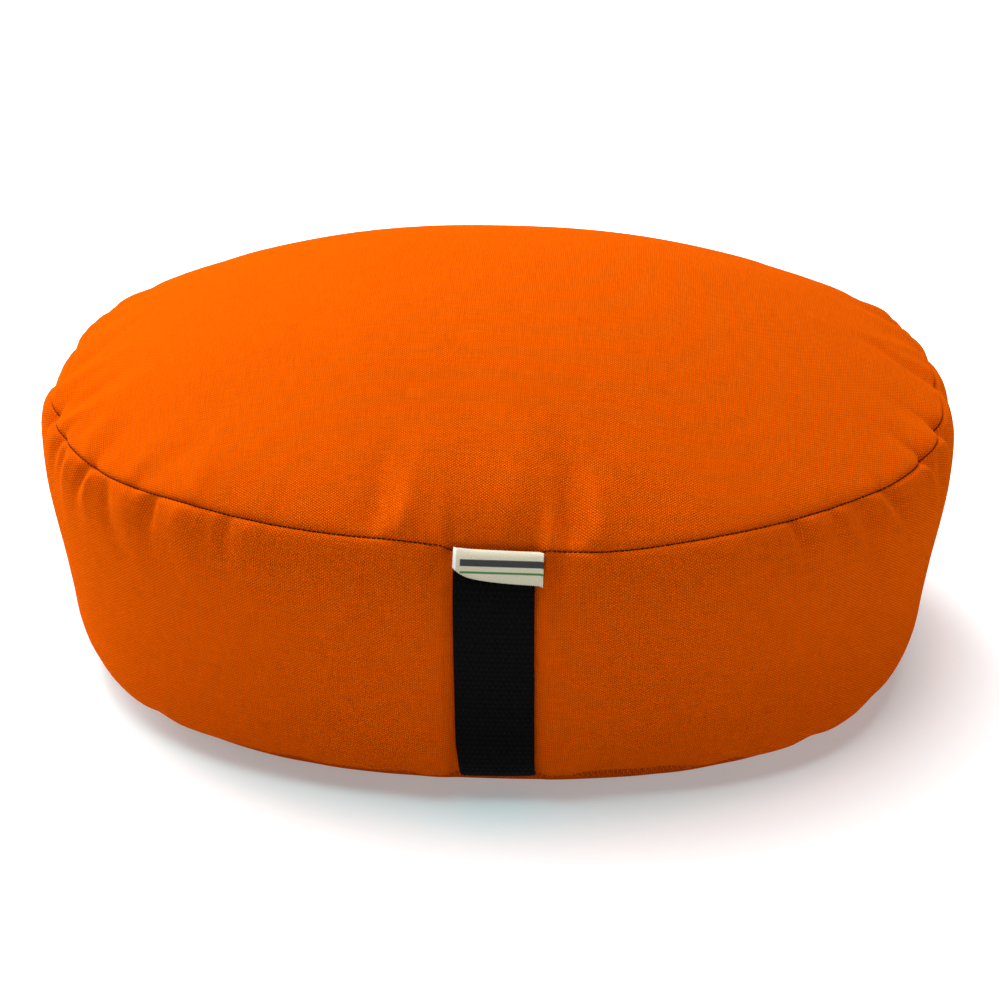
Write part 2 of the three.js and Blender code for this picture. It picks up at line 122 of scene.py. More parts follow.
# Where the band is eased onto the top panel it puckers. Each row is one gather, at an angle in
# degrees from +X: how far the seam line is drawn in, how deep its trough is in the band below and
# in the panel above, its width, and how far each trough leans round the oval per millimetre.
Gather = namedtuple("Gather", "angle seam band panel width band_lean panel_lean")
TOP_GATHERS = [
    Gather(-177.5, 1.5, 1, 0, 6, 0, -0.5),
    Gather(-166.8, 8, 1.5, 0, 6.5, 0, -0.6),
    Gather(-160.4, 3.4, 0.8, 0, 5, 0.1, -0.5),
    Gather(-151.5, 3, 0, 0, 6, 0.1, -0.4),
    Gather(-142.6, 1.5, 0, 0, 4, 0, -0.3),
    Gather(-132, 1, 0, 0, 4, 0, -0.2),
    Gather(-121, 0.5, 0, 0, 5, 0, -0.2),
    Gather(-107.5, 0.4, 0.2, 1.4, 9, 0, 0),
    Gather(-75, 0.4, 0, 1.4, 9, 0, 0),
    Gather(-56, 0.4, 0, 0.4, 6, 0, 0),
    Gather(-44, 1, 0, 0, 4, 0, 0),
    Gather(-37.6, 1, 0, 0, 4, 0.1, 0),
    Gather(-28.6, 1.8, 0, 0, 5, 0, 0),
    Gather(-18.3, 6, 1, 0, 6, 0.2, 0),
    Gather(-10.2, 8.5, 0.8, 0, 7, 0.2, 0.1),
    Gather(1.5, 3, 1, 0, 7, 0.1, 0.2),
    Gather(11, 1, 2, 1.4, 8, 0, 0.3),
    Gather(18.4, 2.6, 1.6, 2.4, 7, 0, 0.3),
    Gather(25.6, 2.2, 2.2, 2, 6, 0.2, 0.3),
    Gather(36, 0.8, 1.4, 1.2, 7, 0, 0.2),
    Gather(48, 0.6, 1.8, 0.8, 6, -0.2, 0),
    Gather(67, 0.5, 0.8, 0.8, 8, 0, 0),
    Gather(94, 0.4, 0.6, 0.8, 9, 0, 0),
    Gather(118, 0.5, 1.4, 0.8, 6, 0.3, 0),
    Gather(136, 0.6, 1.2, 0.8, 8, 0, 0),
    Gather(147, 0.7, 2.2, 1.2, 6, -0.3, -0.2),
    Gather(157, 1, 1.6, 1.4, 7, 0, -0.3),
    Gather(163.8, 2.8, 2.4, 2.4, 6, 0, -0.3),
    Gather(172, 2, 1.4, 1.6, 8, 0, -0.4),
]
TROUGH_PEAK = 9
TROUGH_SPREAD = 0.12
CUSP_SHARPNESS = 1.3
CUSP_REACH = 7

# Short folds that run from the top seam down the band or up the panel, and are ridges where the
# depth is negative: their angle at the seam, how deep and wide they are, their lean round the oval
# per millimetre, and how far from the seam they are deepest.
Fold = namedtuple("Fold", "angle depth width lean peak")
BAND_FOLDS = [
    Fold(-160.6, 1.2, 3, 0.1, 7),
    Fold(-158.3, 2.8, 3.4, 0.1, 7),
    Fold(-155.6, -1.4, 3, 0, 8),
    Fold(-152.6, 3, 2.6, 0, 6),
    Fold(-150.6, -1.8, 2.8, 0.1, 8),
    Fold(-148, 3, 4.2, 0.5, 9),
    Fold(-143.4, -1.2, 4, 0.3, 7),
    Fold(-139.4, 4, 4, 0.2, 6.5),
    Fold(-134.2, -2.6, 7, 0.3, 9),
    Fold(-130.6, 1, 3, 0.2, 8),
    Fold(-127.4, 2.2, 3.2, 0.2, 7),
    Fold(-123.4, -1.1, 6, 0, 8),
    Fold(-95.6, 6, 4.8, 0, 8),
    Fold(-78, 5.5, 4.8, 0.1, 9),
    Fold(-53.3, -1, 4, 0, 6),
    Fold(-43.6, 3.2, 2.6, 0.15, 8),
    Fold(-40.8, -1, 4, 0, 6),
    Fold(-37.8, 1.6, 2.4, 0, 6),
    Fold(-36.6, -0.8, 2.2, 0, 6),
    Fold(-33.6, 4.4, 6, 0.25, 12),
    Fold(-28, 4, 4.2, 0.4, 8),
    Fold(-20, -2.6, 3.2, 0.25, 10),
    Fold(-15.5, 2.6, 4.5, 0, 9),
]
PANEL_FOLDS = [
    Fold(-177, 2.2, 6, -1, 12),
    Fold(-170.7, -1.9, 5, -0.62, 13),
    Fold(-165, 2.6, 5, -0.36, 10),
    Fold(-162.4, -1.1, 3.6, -0.1, 10),
    Fold(-158.5, 0.7, 4, -0.2, 8),
    Fold(-153, -1.5, 5, -1, 10),
    Fold(-150, 0.8, 5, -0.7, 13),
    Fold(-144, -1, 5, -0.4, 12),
    Fold(-141.5, 0.8, 5, 0, 6),
    Fold(-138, 0.8, 7, -0.4, 17),
    Fold(-132.5, -0.9, 5, -0.6, 12),
    Fold(-105.4, 2, 4, -0.3, 10),
    Fold(-100.9, -2.9, 4.4, -0.1, 9),
    Fold(-86.6, -1, 8, 0.4, 20),
    Fold(-75, 2.8, 4.4, 0.15, 14),
    Fold(-71, -2.8, 4.4, 0.2, 9),
    Fold(-18.3, 0.7, 6, 0, 14),
    Fold(-11.4, 1.2, 6, 0.05, 10),
    Fold(0.8, 2.2, 4, 0.5, 12),
    Fold(4, -0.9, 3.2, 0.2, 10),
    Fold(9, -1.3, 4, -0.2, 14),
]
FOLD_SPREAD = 0.06

# Small chance puckers all round the seam, larger at the cushion's ends and at the back. They lie
# unevenly by a share of their spacing, and their sizes are drawn from ranges. The front's share
# holds up to an angle.
PUCKER_COUNT = 110
PUCKER_UNEVENNESS = 0.4
PUCKER_DEPTH = 0.75
PUCKER_DEPTH_SHARES = (-0.6, 1)
PUCKER_WIDTHS = (2.6, 5)
PUCKER_LEANS = (-0.5, 0.5)
PUCKER_PEAKS = (4, 9)
PUCKERS_AT_MIDDLE = 0.3
PUCKER_END_SHARPNESS = 1.5
PUCKERS_AT_FRONT = 0.35
PUCKER_FRONT_END = 15

# What a gather draws in at its line, it lets out again as a low swell on both sides.
SWELL_SHARE = 0.35
SWELL_WIDTHS = 3

# The bottom seam's easing shows as small dents along its line: how far the cloth is drawn in at
# each angle.
BOTTOM_GATHERS = {
    -158: 2,
    -144: 2.4,
    -121: 1.6,
    -102: 1.2,
    -58: 1.4,
    -48: 2,
    -36: 2.6,
    -24: 2,
    -6: 1.8,
    16: 2.2,
    38: 2,
    66: 1.4,
    101: 1.4,
    131: 2,
    153: 2.2,
    176: 1.8,
}
BOTTOM_GATHER_WIDTH = 9
BOTTOM_GATHER_REACH = 11

# The fill bulges and sags a little: soft lumps on the surface, outward where the rise is positive.
Lump = namedtuple("Lump", "angle height rise spread")
FILL_LUMPS = [
    Lump(-103, 160, 2.2, 17),
    Lump(-70, 158, 1.8, 15),
    Lump(-84, 172, 1.2, 20),
    Lump(-66, 8, -3, 38),
    Lump(-34, 24, 2.2, 42),
    Lump(-146, 22, 1.6, 42),
    Lump(22, 150, 1.6, 32),
    Lump(162, 150, 1.2, 24),
    Lump(-179, 150, -2, 20),
    Lump(70, 80, 1.4, 45),
    Lump(128, 60, -1.4, 40),
]

# Pulls and pushes on the cloth act along lines to the middle of the fill.
CORE_SHARE = 0.5
CORE_HEIGHT = 60

# Carry strap: 38 mm webbing that lies flat down the front, from the top seam to the bottom seam.
STRAP_WIDTH = 38
STRAP_THICKNESS = 1.9
STRAP_CENTRE = 9
STRAP_ROWS = (147.8, 10, -1.3)
STRAP_FOOT = 9.6
STRAP_COLUMNS = 41
PIECE_GAP = 0.5

# Its selvedges have a share of its thickness and are rounded off.
SELVEDGE_THICKNESS = 0.35
SELVEDGE_SHARPNESS = 10

# Where the strap is tucked under at its foot it is pinched, and swerves a little to the right.
STRAP_PINCH = 0.05
STRAP_SWERVE = 1
STRAP_TUCK_HEIGHTS = (45, 8)

# The strap holds the cloth in, so it lies in a shallow channel with a puffed lip on each side: the
# channel's depth and the lips' height, by how high up they are.
CHANNEL_DEPTHS = {
    0: (1.6, 0.6),
    12: (2.2, 1),
    40: (3.2, 2),
    90: (3.8, 2.4),
    120: (4.6, 1.6),
    138: (5.8, 0),
    149: (4.6, 0),
}
CHANNEL_FLOOR_HALF = 19.4
CHANNEL_WALL = 6.5
LIP_CENTRE = 33
LIP_SPREAD = 9
TUCK_REACH = 16

# Over the label the panel is pulled down steeply to the seam.
LABEL_TUCK = 1.8
LABEL_TUCK_REACH = 4.5

# Label: a folded tab of woven tape over the top of the strap, its left corner curled away.
LABEL_LEFT = -10
LABEL_RIGHT = 31.9
LABEL_THICKNESS = 0.7
LABEL_TOP = 149
LABEL_ROWS = 19
LABEL_COLUMNS = 87

# How far down it hangs, at shares of the way across it.
LABEL_DROPS = {
    0: 7.1,
    0.085: 9.5,
    0.2: 11.2,
    0.5: 12.7,
    1: 13.6,
}

# How far the label stands off the wall at shares of the way down it, and its pinked lower edge.
LABEL_STAND_SHARES = [0, 0.17, 0.45, 0.75, 1]
LABEL_STANDS = [1, 3.3, 3.2, 3.35, 3.9]
LABEL_PINKING = 0.3
LABEL_PINKED_FROM = 0.9

# Mesh fineness: columns round the cover and their steps, where the cloth is gathered and where it
# isn't, then the rows' step, their first steps from a seam, and the heights of the underside's rows.
Fineness = namedtuple("Fineness", "columns step_fine step_wide row_step seam_steps under_heights")
FINE_MESH = Fineness(
    columns=752,
    step_fine=1.2,
    step_wide=2.2,
    row_step=2.9,
    seam_steps=[0, 0.3, 0.65, 1.1, 1.7, 2.5, 3.5, 4.8, 6.4, 8.2],
    under_heights=[0, 0.2, 0.6, 1.2, 2.1, 3.2, 4.5, 5.8, 6.8, 7.4, 7.75],
)
TRIAL_MESH = Fineness(
    columns=256,
    step_fine=3.6,
    step_wide=5.6,
    row_step=4.6,
    seam_steps=[0, 4.6],
    under_heights=[0, 2.1, 5],
)
CROWDING_REACH = 12
CROWDING_PULL = 1.2
OVAL_SAMPLES = 5760

# Rows of the flat base: the share of the way to its rim, and how many columns each row steps over.
# The top panel's rows have half as many columns inside each halving share, and stop short of its
# middle by some row steps. A row step is turned into a share with the panel's rough radius.
FLAT_ROWS = [(0.2, 16), (0.4, 8), (0.62, 4), (0.82, 2), (0.94, 1)]
PANEL_RADIUS = 200
HALVING_SHARES = [0.62, 0.34, 0.17]
MIDDLE_STEPS = 1.6

# The cloth simulation blows up a trial mesh of the same form, with some slack near its seams, most
# of it at the cushion's ends. Its wrinkles, without the broad swell, go to the fine mesh.
TRIAL_FRAMES = 20
TRIAL_PRESSURE = 4
SLACK = 0.05
SLACK_REACH = 45
SLACK_AT_FRONT = 0.35
SWELL_ROUNDS = 50
WRINKLE_CAP = 1.8
FREE_FROM_SEAM = 7
FREE_FROM_STRAP = (24, 34)

# Sewing thread along the top and bottom seams.
STITCH_PITCH = 2.4
STITCH_LENGTH = 1.9
STITCH_EVENNESS = (0.92, 1.06)
THREAD_RADIUS = 0.34
THREAD_SIDES = 8
TOP_THREAD_STAND = 0.32
BOTTOM_THREAD_STAND = -0.5

# A stitch's rings: their places along it from its middle, and their share of the thread's radius.
STITCH_RINGS = [(-0.5, 0.35), (-0.4, 0.85), (-0.15, 1), (0.15, 1), (0.4, 0.85), (0.5, 0.35)]

# Canvas: its warp threads stand further apart than its weft threads, and they wander a little. A
# scale is a noise's number of lumps in a metre, and each table gives what is added up, and how much
# of each. Colours go from the darkest to the palest.
WARP_PITCH = 0.98
WEFT_PITCH = 0.7
THREAD_WANDER = 0.3
DRIFT_SCALE = 160
SLUB_SCALE = 1500
SLUB_STRETCH = 0.05
FADE_SCALE = 18
CANVAS_WEAVE = {"crossing": 1, "ridges": -0.45}
# The weave's share of the colour is painted shade: it darkens the hollows between threads and lightens
# their crests. Slubs and fade are the cloth's own uneven tone.
CANVAS_DYE_AND_WEAVE_SHADE = {"weave": 0.42, "slubs": 0.5, "fade": 0.12}
CANVAS_HEIGHT = {"weave": 1, "slubs": 0.8}
CANVAS_COLOURS = [(0.248, 0.0268, 0.0002, 1), (0.782, 0.105, 0.0006, 1)]
SHEEN_TINT = (1.0, 0.2, 0.01, 1)

WEBBING_RIB = 1.29
WEBBING_FLOAT = 5.95
WEBBING_SLANT = 0.3
YARN_TWIST = 0.7
WEBBING_FUZZ_SCALE = 2600
WEBBING_HEIGHT = {"rib": -0.2, "bricks": 0.7, "bars": 0.35, "yarn": 0.12, "fuzz": 0.5}
WEBBING_COLOURS = [(0.0004, 0.0004, 0.0005, 1), (0.0024, 0.0023, 0.0026, 1)]

TAPE_RIB = 0.55
TAPE_FINE_RIB = 0.45
TAPE_SLANT = 0.35
TAPE_FUZZ_SCALE = 1800
TAPE_THREADS = {"rib": 0.6, "fine": 0.3}
TAPE_SHADE = {"threads": 0.35, "fuzz": 1}
TAPE_COLOURS = [(0.42, 0.39, 0.27, 1), (0.68, 0.64, 0.5, 1)]
SELVEDGE_COLOUR = (0.8, 0.8, 0.76, 1)

# Two plain stripes woven into the label: each one's middle and half width down the tape, and its
# colour. Their edges are a little blurred.
TAPE_STRIPES = [
    (5.2, 1.1, (0.035, 0.035, 0.036, 1)),
    (8.6, 0.45, (0.06, 0.18, 0.05, 1)),
]
STRIPE_BLUR = 0.12

THREAD_TWIST_SCALE = 3000
DARK_THREAD = [(0.018, 0.004, 0.0006, 1), (0.05, 0.014, 0.002, 1)]
ORANGE_THREAD = [(0.3, 0.03, 0.0003, 1), (0.6, 0.075, 0.0006, 1)]

# The camera stands where the photograph's did.
VIEW_DISTANCE = 1400
VIEW_ELEVATION = 30
VIEW_AZIMUTH = 3.5
VIEW_TARGET = (1.2, 0, 76.5)
SENSOR_WIDTH = 36
FOCAL_LENGTH = 95.4


def smooth_rise(start, end, value):
    """0 before the start and 1 after the end, with a smooth rise between them."""
    share = np.clip((value - start) / (end - start), 0, 1)
    return share * share * (3 - 2 * share)


def bell(distance, spread):
    return np.exp(-((distance / spread) ** 2))


def unit(vectors):
    return vectors / np.linalg.norm(vectors, axis=-1, keepdims=True)


def running_total(steps):
    return np.concatenate([[0], np.cumsum(steps)])


def arc_lengths(path):
    """Distance along a path from its start to each of its points."""
    return running_total(np.linalg.norm(np.diff(path, axis=0), axis=1))


def polar_points(angle, radius, height):
    return np.stack([radius * np.cos(angle), radius * np.sin(angle), height + 0 * angle], axis=1)


def oval_radius(angle):
    """Distance from the middle to the top seam's oval in the direction of an angle."""
    along = np.abs(np.cos(angle)) / SEAM_HALF_LENGTH
    across = np.abs(np.sin(angle)) / SEAM_HALF_DEPTH
    return (along**OVAL_SQUARENESS + across**OVAL_SQUARENESS) ** (-1 / OVAL_SQUARENESS)


def round_distance(angle, mark_degrees):
    """Distance round the oval between an angle and a mark in degrees, positive on one side."""
    turn = angle - math.radians(mark_degrees)
    return np.arctan2(np.sin(turn), np.cos(turn)) * oval_radius(angle)


def smooth_curve(keys, values, at):
    """Reads rows of values by rising keys, with a smooth curve through them."""
    gaps = (keys[2:] - keys[:-2])[:, None]
    slopes = np.empty_like(values)
    slopes[1:-1] = (values[2:] - values[:-2]) / gaps
    slopes[0] = (values[1] - values[0]) / (keys[1] - keys[0])
    slopes[-1] = (values[-1] - values[-2]) / (keys[-1] - keys[-2])
    at = np.clip(at, keys[0], keys[-1])
    low = np.clip(np.searchsorted(keys, at, side="right") - 1, 0, len(keys) - 2)
    span = (keys[low + 1] - keys[low])[:, None]
    t = (at - keys[low])[:, None] / span
    blend = t**2 * (3 - 2 * t)
    start_pull = t * (1 - t) ** 2 * span * slopes[low]
    end_pull = t**2 * (t - 1) * span * slopes[low + 1]
    return values[low] * (1 - blend) + values[low + 1] * blend + start_pull + end_pull


def read_table(table, value):
    """Reads a table by its keys, with a smooth curve through its rows. Gives each of its columns."""
    keys = sorted(table)
    rows = np.array([table[key] for key in keys], float).reshape(len(keys), -1)
    at = np.asarray(value, float)
    return smooth_curve(np.array(keys, float), rows, at.ravel()).T.reshape(-1, *at.shape)


def trough_fade(distance, peak):
    """A trough starts at nothing on the seam, is deepest at its peak, and dies away after it."""
    return distance / peak * np.exp(1 - distance / peak)


def top_gather_depth(angle, reach):
    """How far the top seam's gathers draw the cloth in. Reach is 0 on the seam, negative below."""
    distance = np.abs(reach)
    below = reach < 0
    depth = np.zeros_like(angle)
    for gather in TOP_GATHERS:
        lean = np.where(below, gather.band_lean, gather.panel_lean)
        aside = np.abs(round_distance(angle, gather.angle) - lean * distance)
        width = gather.width + TROUGH_SPREAD * distance
        swell = SWELL_SHARE * bell(aside, SWELL_WIDTHS * width)
        cusp = np.exp(-((aside / gather.width) ** CUSP_SHARPNESS)) - swell
        trough = np.where(below, gather.band, gather.panel)
        depth += gather.seam * cusp * np.exp(-distance / CUSP_REACH)
        depth += trough * (bell(aside, width) - swell) * trough_fade(distance, TROUGH_PEAK)
    return depth


def chance_puckers(seed):
    """Rows of small folds at uneven places, some of them troughs and some ridges."""
    dice = np.random.default_rng(seed)
    rows = []
    for index in range(PUCKER_COUNT):
        place = index + dice.uniform(-PUCKER_UNEVENNESS, PUCKER_UNEVENNESS)
        angle = place * 360 / PUCKER_COUNT - 180
        endness = abs(math.cos(math.radians(angle))) ** PUCKER_END_SHARPNESS
        share = PUCKERS_AT_MIDDLE + (1 - PUCKERS_AT_MIDDLE) * endness
        if angle <= PUCKER_FRONT_END:
            share *= PUCKERS_AT_FRONT
        depth = PUCKER_DEPTH * share * dice.uniform(*PUCKER_DEPTH_SHARES)
        width = dice.uniform(*PUCKER_WIDTHS)
        lean = dice.uniform(*PUCKER_LEANS)
        rows.append(Fold(angle, depth, width, lean, dice.uniform(*PUCKER_PEAKS)))
    return rows


BAND_PUCKERS = BAND_FOLDS + chance_puckers(seed=3)
PANEL_PUCKERS = PANEL_FOLDS + chance_puckers(seed=5)


def fold_depth(angle, reach):
    """How deep the folds beside the top seam are. Reach is 0 on the seam, negative below it."""
    depth = np.zeros_like(angle)
    for folds, side in ((BAND_PUCKERS, -1), (PANEL_PUCKERS, 1)):
        away = np.maximum(side * reach, 0)
        for fold in folds:
            aside = round_distance(angle, fold.angle) - fold.lean * away
            width = fold.width + FOLD_SPREAD * away
            depth += fold.depth * bell(aside, width) * trough_fade(away, fold.peak)
    return depth


def bottom_gather_depth(angle, height):
    depth = np.zeros_like(angle)
    for mark, pull in BOTTOM_GATHERS.items():
        aside = round_distance(angle, mark)
        swell = SWELL_SHARE * bell(aside, SWELL_WIDTHS * BOTTOM_GATHER_WIDTH)
        depth += pull * (bell(aside, BOTTOM_GATHER_WIDTH) - swell)
    return depth * bell(height - BOTTOM_SEAM_HEIGHT, BOTTOM_GATHER_REACH)


def lump_rise(angle, height):
    rise = np.zeros_like(angle)
    for lump in FILL_LUMPS:
        aside = round_distance(angle, lump.angle)
        rise += lump.rise * bell(np.hypot(aside, height - lump.height), lump.spread)
    return rise


def channel_depth(points, reach):
    """Depth of the strap's channel at a place on the front, negative on its puffed lips."""
    aside = np.abs(points[:, 0] - STRAP_CENTRE)
    height = np.minimum(points[:, 2], TOP_SEAM_HEIGHT)
    depth, lip = read_table(CHANNEL_DEPTHS, height)
    floor = 1 - smooth_rise(CHANNEL_FLOOR_HALF, CHANNEL_FLOOR_HALF + CHANNEL_WALL, aside)
    wave = depth * floor - lip * bell(aside - LIP_CENTRE, LIP_SPREAD)
    wave = wave * bell(np.maximum(reach, 0), TUCK_REACH)
    wave += LABEL_TUCK * floor * np.exp(-np.abs(reach) / LABEL_TUCK_REACH)
    return np.where(points[:, 1] > 0, 0, wave)


def shift_with_seam(points, angle, reach):
    """Carries points along with the top seam's own rise and swerve."""
    lift, out = read_table(SEAM_SHIFTS, np.degrees(angle))
    out = out * bell(reach, SEAM_OUT_REACH)
    return points + polar_points(angle, out, lift * bell(reach, SEAM_LIFT_REACH))


def outward_of(points):
    """The ways out of the fill at some points of the cover."""
    core = points * np.array([CORE_SHARE, CORE_SHARE, 0]) + np.array([0, 0, CORE_HEIGHT])
    return unit(points - core)


def draw_in(points, angle, reach):
    """Moves points of the plain form towards the middle of the fill by what draws the cloth in."""
    points = shift_with_seam(points, angle, reach)
    height = points[:, 2]
    nearest = np.minimum(np.abs(reach), np.abs(height - BOTTOM_SEAM_HEIGHT))
    depth = SEAM_DRAW * np.exp(-nearest / SEAM_DRAW_REACH)
    endness = np.cos(angle) ** GROOVE_END_SHARPNESS
    groove = GROOVE_DEPTH + (GROOVE_DEPTH_AT_ENDS - GROOVE_DEPTH) * endness
    depth += groove * np.exp(-np.abs(reach) / GROOVE_REACH)
    depth += top_gather_depth(angle, reach) + bottom_gather_depth(angle, height)
    depth += fold_depth(angle, reach)
    depth += channel_depth(points, reach) - lump_rise(angle, height)
    return points - outward_of(points) * depth[:, None]


def panel_points(angle, share):
    """Points of the top panel. Share is 1 on the seam and 0 at the middle of the crown."""
    radius = oval_radius(angle)
    height = TOP_SEAM_HEIGHT + CROWN_RISE * (1 - share**2)
    return draw_in(polar_points(angle, radius * share, height), angle, radius * (1 - share))


def band_points(angle, height):
    """Points of the side band, given by their height before the gathers move them."""
    height = height + 0 * angle
    radius = oval_radius(angle) + read_table(BAND_SECTION, height)[0]
    return draw_in(polar_points(angle, radius, height), angle, height - TOP_SEAM_HEIGHT)


def underside_points(angle, height):
    """Points of the bottom panel between the flat that it stands on and its seam."""
    radius = oval_radius(angle) + read_table(UNDERSIDE_SECTION, height)[0]
    plain = polar_points(angle, radius, height)
    moved = draw_in(plain, angle, height - TOP_SEAM_HEIGHT + 0 * angle)
    nearness = (height / BOTTOM_SEAM_HEIGHT) ** 2
    moved[:, 2] = height + (moved[:, 2] - height) * nearness
    moved[:, :2] = plain[:, :2] + (moved[:, :2] - plain[:, :2]) * math.sqrt(nearness)
    return moved


def column_angles(fineness):
    """Angles of the mesh's columns, closer together where the cloth is gathered."""
    samples = np.linspace(-math.pi, math.pi, OVAL_SAMPLES + 1)
    closeness = np.zeros_like(samples)
    for mark in [row for row in TOP_GATHERS if row.seam > CROWDING_PULL] + BAND_FOLDS:
        near = bell(round_distance(samples, mark.angle), CROWDING_REACH)
        closeness = np.maximum(closeness, near)
    steps = fineness.step_wide + (fineness.step_fine - fineness.step_wide) * closeness
    crowding = oval_radius(samples) / steps
    totals = running_total((crowding[1:] + crowding[:-1]) / 2)
    wanted = np.arange(fineness.columns) * totals[-1] / fineness.columns
    return np.interp(wanted, totals, samples)


def band_heights(fineness):
    """Heights of the band's rows from the bottom seam to the top one, crowded at both."""
    near = fineness.seam_steps
    gap = TOP_SEAM_HEIGHT - BOTTOM_SEAM_HEIGHT - 2 * near[-1]
    count = round(gap / fineness.row_step)
    middle = [BOTTOM_SEAM_HEIGHT + near[-1] + gap * i / count for i in range(1, count)]
    low = [BOTTOM_SEAM_HEIGHT + step for step in near]
    high = [TOP_SEAM_HEIGHT - step for step in reversed(near)]
    return low + middle + high


def panel_shares(fineness):
    """Shares of the panel's rows from just inside the seam to just short of the crown's middle."""
    shares = [1 - step / PANEL_RADIUS for step in fineness.seam_steps[1:]]
    while shares[-1] > MIDDLE_STEPS * fineness.row_step / PANEL_RADIUS:
        shares.append(shares[-1] - fineness.row_step / PANEL_RADIUS)
    return shares


def crown_arc(angle, share):
    """Length over the crown from its middle to a share of the way to the seam."""
    radius = oval_radius(angle)
    rise = 2 * CROWN_RISE
    slope = np.sqrt(radius**2 + (rise * share) ** 2)
    return share / 2 * slope + radius**2 / (2 * rise) * np.arcsinh(rise * share / radius)


def panel_map(angle, share):
    return polar_points(angle, crown_arc(angle, share), 0)[:, :2]


# One ring of the cover: its column step, its place along the section, its points, and its places
# on the cloth as the faces below it and the faces above it see them, with one more at the end.
Ring = namedtuple("Ring", "step place points low_map high_map")


# The faces between two rings, by how many columns a cell has below and above. Its corners are
# counted along the lower ring and then along the upper one.
CELL_FACES = {
    (1, 1): [(0, 1, 3, 2)],
    (2, 1): [(0, 1, 3), (1, 4, 3), (1, 2, 4)],
    (1, 2): [(0, 3, 2), (0, 1, 3), (1, 4, 3)],
}


def closed(places):
    return np.concatenate([places, places[:1]])


def cover_rings(fineness):
    """The rings of the cover from the middle of its base to the middle of its crown."""
    angles = column_angles(fineness)
    rings = []
    rim = oval_radius(angles) + UNDERSIDE_SECTION[0]
    for share, step in FLAT_ROWS:
        points = polar_points(angles[::step], rim[::step] * share, 0)
        flat = closed(points[:, :2])
        rings.append(Ring(step, -TOP_SEAM_HEIGHT - (1 - share) * PANEL_RADIUS, points, flat, flat))
    for height in fineness.under_heights:
        points = underside_points(angles, height)
        flat = closed(points[:, :2])
        rings.append(Ring(1, height - TOP_SEAM_HEIGHT, points, flat, flat))
    round_arc = arc_lengths(closed(band_points(angles, TOP_SEAM_HEIGHT / 2)))
    heights = band_heights(fineness)
    outs = read_table(BAND_SECTION, heights)[0]
    up_arc = arc_lengths(np.stack([heights, outs], axis=1))
    for height, rise in zip(heights, up_arc):
        points = band_points(angles, height)
        low_map = high_map = np.stack([round_arc, rise + 0 * round_arc], axis=1)
        if height == heights[0]:
            low_map = closed(points[:, :2])
        if height == heights[-1]:
            high_map = closed(panel_map(angles, 1))
        rings.append(Ring(1, height - TOP_SEAM_HEIGHT, points, low_map, high_map))
    for share in panel_shares(fineness):
        step = 2 ** sum(share < limit for limit in HALVING_SHARES)
        some = angles[::step]
        spread = closed(panel_map(some, share))
        rings.append(Ring(step, (1 - share) * PANEL_RADIUS, panel_points(some, share), spread, spread))
    return rings


def ring_faces(rings):
    """Faces of a closed body through its rings, with the middle of the base and of the crown.
    Gives the points, the faces, and each face corner's place on the cloth."""
    base = np.zeros((1, 3))
    crown = panel_points(np.zeros(1), 0)
    points = np.concatenate([base] + [ring.points for ring in rings] + [crown])
    starts = np.cumsum([1] + [len(ring.points) for ring in rings])
    faces = []
    corners = []

    def face(*places):
        faces.append([vertex for vertex, spot in places])
        corners.extend(spot for vertex, spot in places)

    def spot(index, i, upper):
        ring = rings[index]
        count = len(ring.points)
        cloth = ring.low_map if upper else ring.high_map
        return int(starts[index] + i % count), cloth[i]

    for i in range(len(rings[0].points)):
        face((0, np.zeros(2)), spot(0, i + 1, False), spot(0, i, False))
    for index in range(len(rings) - 1):
        low_count = len(rings[index].points)
        high_count = len(rings[index + 1].points)
        count = min(low_count, high_count)
        low_step = low_count // count
        high_step = high_count // count
        for i in range(count):
            cell = [spot(index, i * low_step + k, False) for k in range(low_step + 1)]
            cell += [spot(index + 1, i * high_step + k, True) for k in range(high_step + 1)]
            for order in CELL_FACES[low_step, high_step]:
                face(*[cell[k] for k in order])
    last = len(rings) - 1
    top = len(points) - 1
    for i in range(len(rings[last].points)):
        face(spot(last, i, False), spot(last, i + 1, False), (top, np.zeros(2)))
    return points, faces, corners


def scene_object(name, data):
    item = bpy.data.objects.new(name, data)
    scene.collection.objects.link(item)
    return item


def mesh_object(name, points, faces, corners=None):
    """Makes a smooth mesh piece, turning millimetres into metres and placing it where the CAD is."""
    mesh = bpy.data.meshes.new(name)
    placed = (np.asarray(points) + PLACE) * MM
    mesh.from_pydata(placed.tolist(), [], faces)
    if corners is not None:
        layer = mesh.uv_layers.new(name="cloth")
        layer.data.foreach_set("uv", (np.asarray(corners) * MM).ravel())
    mesh.shade_smooth()
    return scene_object(name, mesh)


def frame_place(rings):
    """How far the CAD's centring moved the cushion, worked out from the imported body's box."""
    points = np.concatenate([ring.points for ring in rings])
    body_low, body_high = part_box("cushion_body")
    middle = (Vector(body_low) + Vector(body_high)) / 2 / MM
    own = (points.min(axis=0) + points.max(axis=0)) / 2
    return np.array([middle.x - own[0], middle.y - own[1], 0])


def freedom(points, place):
    """How freely the cloth moves: 0 on the seams, under the strap and on the base, 1 away from them."""
    height = points[:, 2]
    from_seams = np.minimum(abs(place), np.maximum(height - BOTTOM_SEAM_HEIGHT, 0))
    aside = np.abs(points[:, 0] - STRAP_CENTRE)
    from_strap = np.where((points[:, 1] < 0) & (place < TUCK_REACH), aside, FREE_FROM_STRAP[1])
    return smooth_rise(0, FREE_FROM_SEAM, from_seams) * smooth_rise(*FREE_FROM_STRAP, from_strap)


